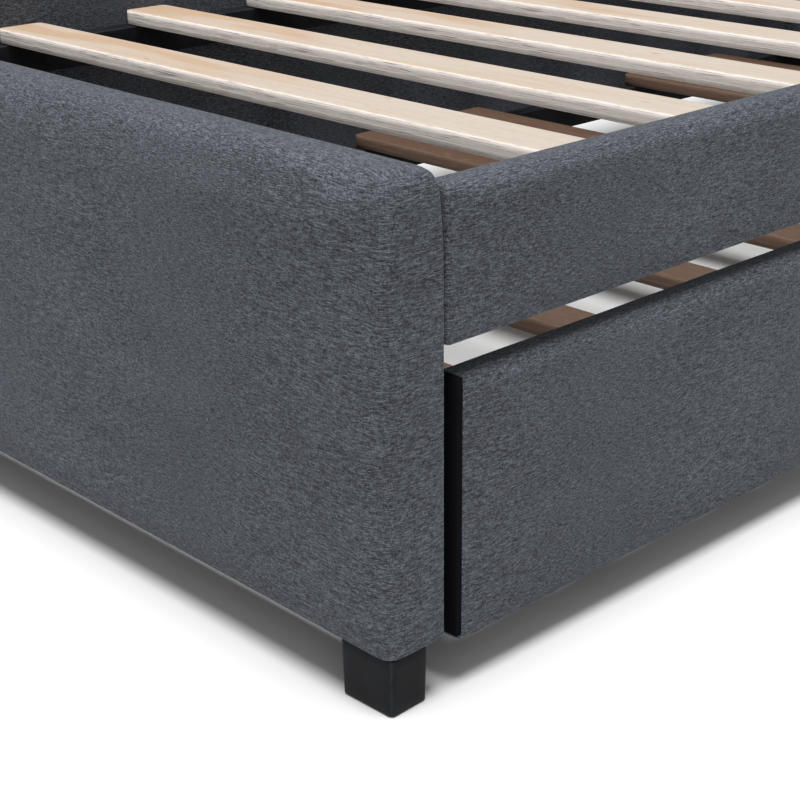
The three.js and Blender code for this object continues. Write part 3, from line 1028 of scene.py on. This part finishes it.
class BED_OT_lay_slats(bpy.types.Operator):
    """Lay the bed's slats and the trundle's slats"""

    bl_idname = "trundle_bed.lay_slats"
    bl_label = "Slats"

    def execute(self, context):
        decks = (("main", "bed", IN_LIGHT), ("trundle", "trundle", UNDER_BED))
        for deck, body, shade in decks:
            node = f"{deck}_slat"
            count = sum(key.startswith(f"{node}_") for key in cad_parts)
            low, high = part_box(f"{node}_1")
            wood = f"{deck}_slat_wood"
            finish = material(wood, slat_material, wood, low.z, high.z, shade)
            lay_slats(f"{deck}_slat_timber", node, count, finish, body)
        return {"FINISHED"}


class BED_OT_fit_rails(bpy.types.Operator):
    """Make the ledgers and the trundle's frame"""

    bl_idname = "trundle_bed.fit_rails"
    bl_label = "Ledgers and trundle frame"

    def execute(self, context):
        look = settings("timber")
        paint = "black_paint"
        finish = material(paint, painted_timber_material, paint, look.black, 0.62)
        rails = {
            "near_ledger": ("bed", "ledger_wood"),
            "far_ledger": ("bed", "ledger_wood"),
            "trundle_front_ledger": ("trundle", "frame_wood"),
            "trundle_rear_rail": ("trundle", "frame_wood"),
            "trundle_foot_rail": ("trundle", "frame_wood"),
            "trundle_head_rail": ("trundle", "frame_wood"),
        }
        for node, (body, slot) in rails.items():
            low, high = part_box(node)
            mesh = rounded_box(low, high, even(0.0018), (0.05, 0.05, 0.012), 3)
            mark_eased(mesh)
            rail = new_piece(f"{node}_timber", mesh, finish)
            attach(rail, body)
            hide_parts(node)
        return {"FINISHED"}


def leg_turn(node):
    """How far a leg is turned on its stud, from the direction of its longest flat."""
    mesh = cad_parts[node].data
    best, turn = 0.0, 0.0
    for face in mesh.polygons:
        if abs(face.normal.z) < 0.3 and face.area > best:
            best = face.area
            turn = math.atan2(face.normal.y, face.normal.x)
    quarter = math.pi / 2
    return turn - round(turn / quarter) * quarter


def leg_mesh(node):
    """A tapered leg with rounded corners, on the frame's leg."""
    low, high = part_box(node)
    centre = (low + high) / 2
    points = points_of(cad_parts[node].data)
    turn = leg_turn(node)
    cosine, sine = math.cos(turn), math.sin(turn)
    flat = (points[:, :2] - [centre.x, centre.y]) @ np.array([[cosine, -sine], [sine, cosine]])
    nearby = 0.001
    top = np.abs(flat[points[:, 2] > high.z - nearby]).max(0)
    foot = np.abs(flat[points[:, 2] < low.z + nearby]).max(0)
    height = high.z - low.z
    corner, rim = 0.0042, 0.0012

    def radii(point):
        return (corner, corner, rim)

    ends = ((-top[0], -top[1], 0.0), (top[0], top[1], height))
    mesh = rounded_box(*ends, radii, (0.008,) * 3, 5)
    shaped = points_of(mesh)
    rise = (shaped[:, 2] / height)[:, None]
    scale = (foot / top)[None, :] * (1.0 - rise) + rise
    shaped[:, :2] = (shaped[:, :2] * scale) @ np.array([[cosine, sine], [-sine, cosine]])
    put_points(mesh, shaped + [centre.x, centre.y, low.z])
    mark_eased(mesh)
    return mesh


class BED_OT_turn_legs(bpy.types.Operator):
    """Make the five lacquered legs"""

    bl_idname = "trundle_bed.turn_legs"
    bl_label = "Legs"

    def execute(self, context):
        look = settings("timber")
        lacquer = "leg_lacquer"
        finish = material(lacquer, painted_timber_material, lacquer, look.lacquer, 0.42)
        for node in sorted(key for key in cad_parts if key.startswith("leg_")):
            leg = new_piece(f"{node}_lacquered", leg_mesh(node), finish)
            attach(leg, "bed")
            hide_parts(node)
        return {"FINISHED"}


# ---------------------------------------------------------------- hardware


class BED_OT_fit_brackets(bpy.types.Operator):
    """Finish the steel angles and put their bolts in"""

    bl_idname = "trundle_bed.fit_brackets"
    bl_label = "Brackets and bolts"

    def execute(self, context):
        zinc = material("zinc_plate", zinc_material)
        look = settings("hardware")
        for node in sorted(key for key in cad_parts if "bracket" in key):
            dress_node(node, zinc)
            low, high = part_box(node)
            body = "trundle" if node.startswith("trundle") else "bed"
            place = self.trundle_bolts if body == "trundle" else self.corner_bolts
            bolts = [
                hex_bolt(centre, outward, look.bolt_radius)
                for centre, outward in place(low, high, look.sheet)
            ]
            heads = joined(f"{node}_bolts", bolts, zinc, smooth=False)
            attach(heads, body)
        return {"FINISHED"}

    @staticmethod
    def corner_bolts(low, high, sheet):
        """Two bolts in each arm of an upright angle that opens towards the bed's middle."""
        inward_x = 1.0 if low.x < 0.0 else -1.0
        inward_y = 1.0 if low.y < 0.0 else -1.0
        corner_x = low.x if inward_x > 0 else high.x
        corner_y = low.y if inward_y > 0 else high.y
        reach = 0.026
        from_end = 0.014
        for z in (low.z + from_end, high.z - from_end):
            on_side = (corner_x + inward_x * reach, corner_y + inward_y * sheet, z)
            yield on_side, (0.0, inward_y, 0.0)
            on_end = (corner_x + inward_x * sheet, corner_y + inward_y * reach, z)
            yield on_end, (inward_x, 0.0, 0.0)

    @staticmethod
    def trundle_bolts(low, high, sheet):
        """Bolts down into the end rail, and through the upright arm into the front."""
        middle = (low.x + high.x) / 2
        for y in (low.y + 0.034, low.y + 0.058):
            yield (middle, y, low.z + sheet), (0.0, 0.0, 1.0)
        for z in (low.z + 0.026, low.z + 0.048):
            yield (middle, low.y + sheet, z), (0.0, 1.0, 0.0)


def wheel_mesh(low, high):
    """A moulded wheel with a raised hub, a dished web and two fine grooves in its tread."""
    centre = (low + high) / 2
    radius = (high.z - low.z) / 2
    proud = 0.0006
    half = (high.x - low.x) / 2 - proud
    bore = 0.0043
    hub = 0.009
    web = half - 0.0024
    outline = [
        (bore, -half - proud),
        (hub - 0.0008, -half - proud),
        (hub, -half + 0.0002),
        (hub + 0.0008, -web),
        (radius - 0.0066, -web),
        (radius - 0.0052, -half + 0.0006),
        (radius - 0.0044, -half),
        (radius - 0.0026, -half),
        (radius - 0.0008, -half + 0.0009),
        (radius, -half + 0.0026),
    ]
    for groove in (-0.0032, 0.0032):
        outline += [
            (radius, groove - 0.0007),
            (radius - 0.0007, groove - 0.0004),
            (radius - 0.0007, groove + 0.0004),
            (radius, groove + 0.0007),
        ]
    outline += [(r, -x) for r, x in reversed(outline[:10])]
    return turned_mesh(outline, 72, centre)


def fork_meshes(low, high, axle_height, sheet):
    """A caster's folded fork: a plate with two tapered cheeks below it."""
    centre_y = (low.y + high.y) / 2
    plate = rounded_box(
        (low.x, low.y, high.z - sheet),
        high,
        lambda point: (0.0024, 0.0024, 0.0006),
        (0.01, 0.01, 0.01),
        3,
    )
    meshes = [plate]
    face = 0.0114
    wide_half = 0.017
    foot = 0.009
    middle = (low.x + high.x) / 2
    for side in (-1.0, 1.0):
        inner = middle + side * face
        outer = inner + side * sheet
        cheek = rounded_box(
            (min(inner, outer), centre_y - wide_half, low.z),
            (max(inner, outer), centre_y + wide_half, high.z - sheet * 0.5),
            lambda point: (0.0006, 0.0012, 0.0012),
            (0.01, 0.0025, 0.003),
            2,
        )
        points = points_of(cheek)
        top = high.z - sheet
        rise = np.clip((points[:, 2] - axle_height) / (top - axle_height), 0.0, 1.0)
        wide = foot + (wide_half - foot) * rise
        under = np.clip((axle_height - points[:, 2]) / foot, 0.0, 1.0)
        wide = wide * np.sqrt(np.clip(1.0 - under * under, 0.02, 1.0))
        points[:, 1] = centre_y + (points[:, 1] - centre_y) / wide_half * wide
        put_points(cheek, points)
        meshes.append(cheek)
    return meshes


class BED_OT_fit_casters(bpy.types.Operator):
    """Make the four casters: fork, axle and wheel"""

    bl_idname = "trundle_bed.fit_casters"
    bl_label = "Casters"

    def execute(self, context):
        zinc = material("zinc_plate", zinc_material)
        nylon = material("black_nylon", nylon_material)
        look = settings("hardware")
        corners = [key[len("caster_wheel_"):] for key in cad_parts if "_wheel_" in key]
        for corner in sorted(corners):
            low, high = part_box(f"caster_wheel_{corner}")
            centre = (low + high) / 2
            wheel = new_piece(f"wheel_{corner}", wheel_mesh(low, high), nylon)
            mark_eased(wheel.data)
            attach(wheel, f"wheel_{corner}")
            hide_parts(f"caster_wheel_{corner}")
            fork_low, fork_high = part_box(f"caster_fork_{corner}")
            meshes = fork_meshes(fork_low, fork_high, centre.z, look.sheet)
            fork = joined(f"fork_{corner}", meshes, zinc)
            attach(fork, "trundle")
            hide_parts(f"caster_fork_{corner}")
            axle = joined(f"axle_{corner}", [self.axle(corner, centre)], zinc)
            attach(axle, "trundle")
            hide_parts(f"caster_axle_{corner}")
            screws = []
            for offset in (-0.0225, 0.0225):
                spot = Vector((centre.x, centre.y + offset, fork_high.z - look.sheet))
                screws.append(hex_bolt(spot, (0.0, 0.0, -1.0), 0.0034))
            heads = joined(f"screws_{corner}", screws, zinc, smooth=False)
            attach(heads, "trundle")
        return {"FINISHED"}

    @staticmethod
    def axle(corner, centre):
        """A riveted axle with a domed head at each end."""
        low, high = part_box(f"caster_axle_{corner}")
        half = (high.x - low.x) / 2
        head = (high.z - low.z) / 2
        pin = 0.004
        seat = half - 0.003
        outline = [
            (0.0, -half),
            (head * 0.55, -half + 0.0003),
            (head * 0.88, -half + 0.0011),
            (head, -seat - 0.0008),
            (head, -seat),
            (pin, -seat),
        ]
        outline += [(r, -x) for r, x in reversed(outline)]
        return turned_mesh(outline, 32, centre)


# ---------------------------------------------------------------- studio


class BED_OT_set_stage(bpy.types.Operator):
    """Set the camera, the floor and the lights"""

    bl_idname = "trundle_bed.set_stage"
    bl_label = "Camera, floor and lights"

    def execute(self, context):
        look = settings("studio")
        scene = context.scene
        scene.view_settings.view_transform = "Standard"
        self.camera(scene, look)
        self.floor(scene, look)
        self.lights(scene, look)
        return {"FINISHED"}

    @staticmethod
    def camera(scene, look):
        data = bpy.data.cameras.new("camera")
        data.lens = look.lens
        data.sensor_width = 36.0
        data.clip_start = 0.02
        data.clip_end = 200.0
        camera = bpy.data.objects.new("camera", data)
        scene.collection.objects.link(camera)
        heading = math.radians(look.heading)
        tilt = math.radians(look.tilt)
        forward = Vector(
            (
                math.cos(heading) * math.cos(tilt),
                math.sin(heading) * math.cos(tilt),
                -math.sin(tilt),
            )
        )
        level = forward.to_track_quat("-Z", "Y").to_matrix()
        rolled = level @ Matrix.Rotation(math.radians(look.roll), 3, "Z")
        camera.matrix_world = Matrix.Translation(look.eye) @ rolled.to_4x4()
        scene.camera = camera

    @staticmethod
    def floor(scene, look):
        shape = bmesh.new()
        bmesh.ops.create_grid(shape, x_segments=8, y_segments=8, size=look.floor_size / 2)
        finish = Sheet("pale_floor").close(Base_Color=look.floor, Roughness=0.9)
        floor = new_piece("floor", mesh_from(shape, "floor"), finish)
        below_feet = 0.0005
        floor.location.z = -below_feet

    @staticmethod
    def lights(scene, look):
        world = bpy.data.worlds.new("soft_light")
        world.use_nodes = True
        background = world.node_tree.nodes["Background"]
        background.inputs["Color"].default_value = (1.0, 1.0, 1.0, 1.0)
        background.inputs["Strength"].default_value = look.sky
        scene.world = world
        lamps = (
            ("key", look.key, look.key_spread, (0.10, 0.10, -1.0)),
            ("fill", look.fill, look.fill_spread, (0.80, 0.75, -0.40)),
        )
        for name, strength, spread, towards in lamps:
            data = bpy.data.lights.new(name, "SUN")
            data.energy = strength
            data.angle = math.radians(spread)
            lamp = bpy.data.objects.new(name, data)
            scene.collection.objects.link(lamp)
            turn = Vector(towards).to_track_quat("-Z", "Y")
            lamp.matrix_world = turn.to_matrix().to_4x4()


# ---------------------------------------------------------------- panel


OPERATORS = (
    BED_OT_set_stage,
    BED_OT_pad_end_panels,
    BED_OT_pad_side_panels,
    BED_OT_line_undersides,
    BED_OT_lay_slats,
    BED_OT_fit_rails,
    BED_OT_turn_legs,
    BED_OT_fit_brackets,
    BED_OT_fit_casters,
)


class BED_PT_trundle_bed(bpy.types.Panel):
    """Lists the bed's pieces in the order that they are made"""

    bl_idname = "BED_PT_trundle_bed"
    bl_label = "Trundle Bed"
    bl_space_type = "VIEW_3D"
    bl_region_type = "UI"
    bl_category = "Trundle Bed"

    def draw(self, context):
        column = self.layout.column(align=True)
        for operator in OPERATORS:
            column.operator(operator.bl_idname)
        for group, kind in SETTINGS.items():
            box = self.layout.box()
            box.label(text=group.capitalize())
            for name in kind.__annotations__:
                box.prop(settings(group), name)


CLASSES = (*SETTINGS.values(), *OPERATORS, BED_PT_trundle_bed)


def register():
    for kind in CLASSES:
        bpy.utils.register_class(kind)
    for group, kind in SETTINGS.items():
        pointer = bpy.props.PointerProperty(type=kind)
        setattr(bpy.types.Scene, f"trundle_bed_{group}", pointer)


def unregister():
    for group in SETTINGS:
        delattr(bpy.types.Scene, f"trundle_bed_{group}")
    for kind in reversed(CLASSES):
        bpy.utils.unregister_class(kind)


def main():
    register()
    for operator in OPERATORS:
        family, name = operator.bl_idname.split(".")
        getattr(getattr(bpy.ops, family), name)()


if __name__ == "__main__":
    main()
